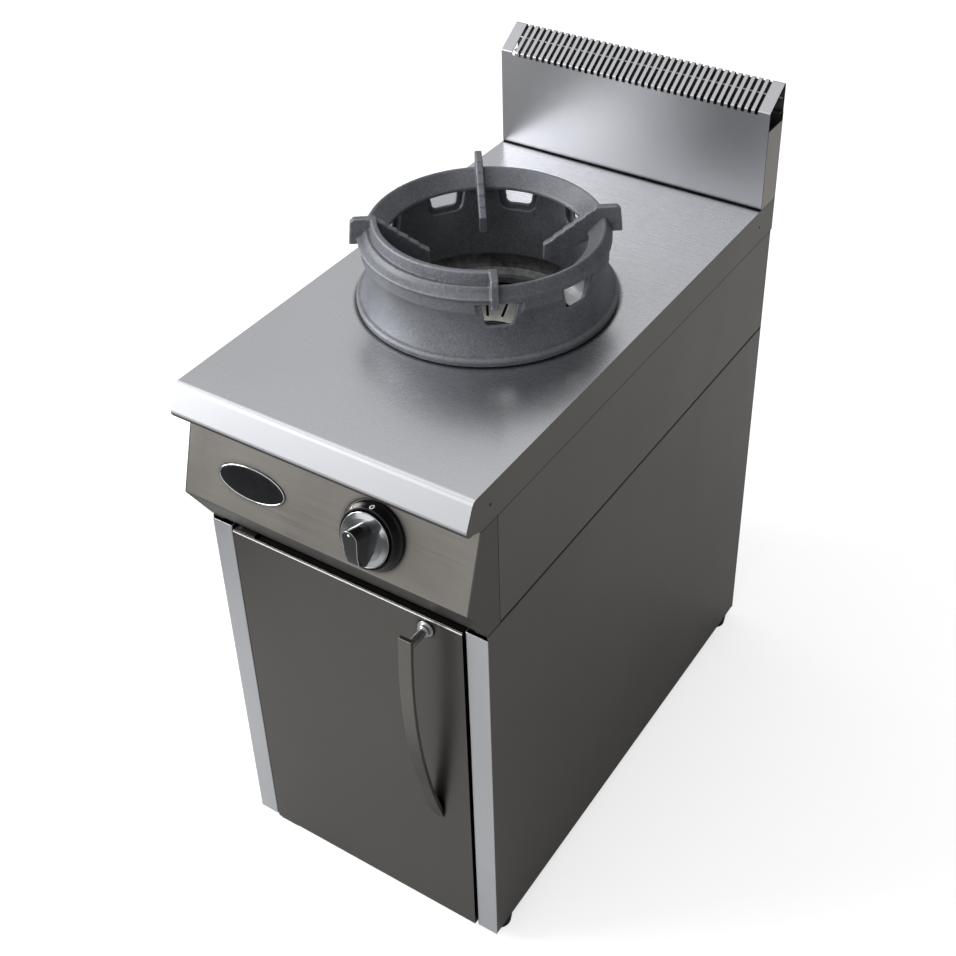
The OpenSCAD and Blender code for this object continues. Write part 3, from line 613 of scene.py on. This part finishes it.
def badge():
    """Bare oval badge with a bright rim, to the left of the knob."""
    half_x = 54 * MM
    half_y = 22.5 * MM
    rim_w = 2.2 * MM
    rim_h = 2.2 * MM
    face_h = 0.8 * rim_h
    left = -191.5 * MM
    down = -3 * MM
    place = PANEL @ Matrix.Translation((left, down, 0))
    button("badge_face", place, half_x - rim_w / 2, half_y - rim_w / 2, face_h, black_plastic,
           "cabinet")
    rim("badge_rim", place, half_x, half_y, rim_w, rim_h, chrome, "cabinet")


badge()


def knob_tip():
    """The fin's highest point in the panel's frame."""
    shape = frame["nodes"]["knob_body"]
    to_panel = PANEL.inverted() @ shape.matrix_world
    return max((to_panel @ vertex.co for vertex in shape.data.vertices), key=lambda point: point.z)


def frame_at(place, across, out):
    """Matrix with its X along across and its Z along out."""
    up = out.cross(across)
    return PANEL @ Matrix.Translation(place) @ Matrix((across, up, out)).transposed().to_4x4()


MARK_H = 0.12 * MM


def pointer_dot():
    """White dot on the slope of the knob's fin."""
    half_x = 1.7 * MM
    half_y = 2.0 * MM
    slope = 1 / 3
    dot_back = 5 * MM
    tip = knob_tip()
    out = Vector((0, -slope, 1)).normalized()
    place = frame_at(Vector((0, tip.y - dot_back, tip.z - dot_back * slope)), Vector((1, 0, 0)), out)
    button("pointer_dot", place, half_x, half_y, MARK_H, white_paint, "knob")


pointer_dot()


def on_bezel(clock):
    """Frame on the bezel's cone at a clock angle."""
    inset = 4.3 * MM
    mark_up = 11 * MM
    cone_lean = 0.28
    bezel_low, bezel_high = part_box("bezel")
    mark_r = (bezel_high.x - bezel_low.x) / 2 - inset
    spoke = Vector((sin(clock), cos(clock), 0))
    tangent = Vector((cos(clock), -sin(clock), 0))
    out = (spoke + cone_lean * Vector((0, 0, 1))).normalized()
    return frame_at(mark_r * spoke + mark_up * Vector((0, 0, 1)), tangent, out)


def dial_marks():
    """The dial's off mark, an upright oval, and its pilot mark, a slanted stroke."""
    off_x = 3.2 * MM
    off_y = 4.4 * MM
    off_w = 2.0 * MM
    pilot_x = 1.5 * MM
    pilot_y = 4.2 * MM
    pilot_clock = radians(-45)
    pilot_slant = Matrix.Rotation(radians(20), 4, "Z")
    rim("off_mark", on_bezel(0.0), off_x, off_y, off_w, MARK_H, white_paint, "cabinet")
    button("pilot_mark", on_bezel(pilot_clock) @ pilot_slant, pilot_x, pilot_y, MARK_H, white_paint,
           "cabinet")


dial_marks()


def door_edge():
    """Slanted fold along the door's top edge, in a bright polished steel that paints its highlight."""
    low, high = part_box("door_skin")
    proud = 0.7 * MM
    over = 0.2 * MM
    tall = 2.8 * MM
    corners = [(low.y - proud, high.z - tall), (low.y + proud, high.z - tall), (low.y + proud, high.z + over)]
    count = len(corners)
    points = [Vector((x, y, z)) for x in (low.x, high.x) for y, z in corners]
    faces = [(i, (i + 1) % count, count + (i + 1) % count, count + i) for i in range(count)]
    faces += [tuple(range(count))[::-1], tuple(range(count, 2 * count))]
    mesh = bpy.data.meshes.new("door_top_edge")
    mesh.from_pydata(points, [], faces)
    piece("door_top_edge", mesh, painted_highlight_edge, "door")


door_edge()


def threaded_inlet():
    """Gas inlet with its outer stub cut down to the thread's root and a ridge wound round it."""
    mount = next(m for m in record["mounts"] if m["name"] == "gas_inlet_thread")
    middle = Vector(mount["pos_m"])
    crest = mount["dims"]["r_mm"] * MM
    length = mount["dims"]["length_mm"] * MM
    pitch = 1.814 * MM
    depth = 0.64 * pitch
    bare_turns = 2
    foot_half = 0.45
    top_half = 0.08
    crest_within = 0.2 * MM
    root = crest - depth
    start = middle.y - length / 2
    mesh = clean_copy("gas_inlet")
    for vertex in mesh.vertices:
        out = Vector((vertex.co.x - middle.x, vertex.co.z - middle.z))
        if vertex.co.y > start - MM and abs(out.length - crest) < crest_within:
            vertex.co.x = middle.x + out.x * root / crest
            vertex.co.z = middle.z + out.y * root / crest
    work = bmesh.new()
    work.from_mesh(mesh)
    section = [(root, -foot_half), (crest, -top_half), (crest, top_half), (root, foot_half)]
    steps = 24
    rows = []
    for k in range(int((length / pitch - bare_turns) * steps)):
        turn = 2 * pi * k / steps
        along = start + pitch * (1 + k / steps)
        spoke = Vector((cos(turn), 0, sin(turn)))
        ridge = Vector((middle.x, along, middle.z))
        row = [ridge + r * spoke + Vector((0, pitch * share, 0)) for r, share in section]
        rows.append([work.verts.new(point) for point in row])
    for one, two in zip(rows, rows[1:]):
        for i in range(len(section) - 1):
            work.faces.new((one[i], one[i + 1], two[i + 1], two[i]))
    work.to_mesh(mesh)
    work.free()
    shape = piece("gas_inlet_threaded", mesh, brass, body_of["gas_inlet"])
    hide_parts("gas_inlet")


threaded_inlet()

# Stage, light and camera


def pale_floor():
    """Matt pale floor, lifted towards white for the camera; only in metal's reflections is it darker to the left,
    a painted reflection.
    """
    s = Shader("pale_floor")
    lift = 0.68
    dark_x = -0.85
    pale_x = -0.55
    axes = s.add("ShaderNodeSeparateXYZ")
    s.link(s.place, axes.inputs["Vector"])
    # Painted reflection: only glossy rays see the floor darken to the left.
    painted_dark_reflection = s.add("ShaderNodeMath", operation="MULTIPLY")
    s.link(s.spread(axes.outputs["X"], 1.0, 0.0, from_low=dark_x, from_high=pale_x), painted_dark_reflection.inputs[0])
    s.link(s.add("ShaderNodeLightPath").outputs["Is Glossy Ray"], painted_dark_reflection.inputs[1])
    grain = s.even_noise(40.0, detail=3.0)
    tone = s.total(painted_dark_reflection.outputs["Value"], s.spread(grain, 0.0, 0.05))
    s.colour(s.between(tone, (0.48, 0.48, 0.48), (0.1, 0.1, 0.1)))
    s.set(Roughness=0.9)
    s.set(Emission_Color=(1, 1, 1, 1))
    seen = s.add("ShaderNodeLightPath").outputs["Is Camera Ray"]
    s.link(s.spread(seen, 0.0, lift, from_low=0.0, from_high=1.0), s.surface.inputs["Emission Strength"])
    return s.material


def floor_sheet():
    """Wide flat sheet under the feet."""
    half = 14.0
    corners = [(-half, -half, 0), (half, -half, 0), (half, half, 0), (-half, half, 0)]
    mesh = bpy.data.meshes.new("floor")
    mesh.from_pydata(corners, [], [(0, 1, 2, 3)])
    mesh.materials.append(pale_floor())
    floor = bpy.data.objects.new("floor", mesh)
    bpy.context.scene.collection.objects.link(floor)


floor_sheet()


def studio_world():
    """Dim surroundings with a wide bright screen in front on the left and a smaller one behind.

    The camera itself sees a plain white backdrop.
    """
    white = (1, 1, 1, 1)
    dimmest = 0.16
    front_screen = (-0.62, -0.77, 0.12)
    front_edge = -0.5
    front_light = 1.36
    rear_screen = (-0.1, 0.9, 0.42)
    rear_edge = 0.7
    rear_light = 0.55
    world = bpy.data.worlds.new("studio")
    bpy.context.scene.world = world
    world.use_nodes = True
    tree = world.node_tree

    def screen(towards, edge, low, high):
        """Light that rises smoothly from the edge of a screen, a cosine, to its middle."""
        facing = tree.nodes.new("ShaderNodeVectorMath")
        facing.operation = "DOT_PRODUCT"
        facing.inputs[1].default_value = Vector(towards).normalized()
        tree.links.new(direction.outputs["Generated"], facing.inputs[0])
        level = tree.nodes.new("ShaderNodeMapRange")
        level.interpolation_type = "SMOOTHSTEP"
        level.inputs["From Min"].default_value = edge
        level.inputs["To Min"].default_value = low
        level.inputs["To Max"].default_value = high
        tree.links.new(facing.outputs["Value"], level.inputs["Value"])
        return level.outputs["Result"]

    direction = tree.nodes.new("ShaderNodeTexCoord")
    both = tree.nodes.new("ShaderNodeMath")
    both.operation = "ADD"
    tree.links.new(screen(front_screen, front_edge, dimmest, front_light), both.inputs[0])
    tree.links.new(screen(rear_screen, rear_edge, 0.0, rear_light), both.inputs[1])
    lit = tree.nodes["Background"]
    lit.inputs["Color"].default_value = white
    tree.links.new(both.outputs["Value"], lit.inputs["Strength"])
    backdrop = tree.nodes.new("ShaderNodeBackground")
    backdrop.inputs["Color"].default_value = white
    seen = tree.nodes.new("ShaderNodeMixShader")
    tree.links.new(tree.nodes.new("ShaderNodeLightPath").outputs["Is Camera Ray"], seen.inputs["Fac"])
    tree.links.new(lit.outputs["Background"], seen.inputs[1])
    tree.links.new(backdrop.outputs["Background"], seen.inputs[2])
    tree.links.new(seen.outputs["Shader"], tree.nodes["World Output"].inputs["Surface"])


studio_world()


def area_lamp(name, place, target, size, watts):
    """Round soft lamp at a place, turned to a target."""
    lamp = bpy.data.lights.new(name, "AREA")
    lamp.shape = "DISK"
    lamp.size = size
    lamp.energy = watts
    shape = bpy.data.objects.new(name, lamp)
    bpy.context.scene.collection.objects.link(shape)
    shape.location = place
    shape.rotation_euler = (Vector(target) - Vector(place)).to_track_quat("-Z", "Y").to_euler()


area_lamp("key", place=(-3.0, -2.05, 1.9), target=(0, 0, 0.8), size=2.2, watts=150)
area_lamp("top", place=(-0.4, -0.1, 3.0), target=(0, 0, 0.9), size=3.2, watts=14)

# Camera at the photograph's place: its turn round the object, height, roll and offset axis

AZIMUTH = radians(33.527)
ELEVATION = radians(36.065)
ROLL = radians(-1.436)
CAMERA_PLACE = Vector((0.9567, front_y - 1.0784, 1.9628))
IMAGE_SIDE = 956
SENSOR_WIDTH = 36
FOCAL_PIXELS = 1495.64
AXIS_PIXEL = (493.96, 386.44)


def camera_turn():
    """The camera's axes: X to the right, Y up and Z back from the view."""
    back = Vector((sin(AZIMUTH) * cos(ELEVATION), -cos(AZIMUTH) * cos(ELEVATION), sin(ELEVATION)))
    level_right = Vector((cos(AZIMUTH), sin(AZIMUTH), 0))
    level_up = back.cross(level_right)
    right = cos(ROLL) * level_right + sin(ROLL) * level_up
    up = back.cross(right)
    return Matrix((right, up, back)).transposed().to_4x4()


def place_camera():
    """Camera with the photograph's focal length and offset axis."""
    lens = bpy.data.cameras.new("camera")
    lens.sensor_width = SENSOR_WIDTH
    lens.lens = FOCAL_PIXELS * SENSOR_WIDTH / IMAGE_SIDE
    lens.shift_x = (IMAGE_SIDE / 2 - AXIS_PIXEL[0]) / IMAGE_SIDE
    lens.shift_y = (AXIS_PIXEL[1] - IMAGE_SIDE / 2) / IMAGE_SIDE
    camera = bpy.data.objects.new("camera", lens)
    bpy.context.scene.collection.objects.link(camera)
    camera.matrix_world = Matrix.Translation(CAMERA_PLACE) @ camera_turn()
    bpy.context.scene.camera = camera


place_camera()
bpy.context.scene.view_settings.view_transform = "Standard"
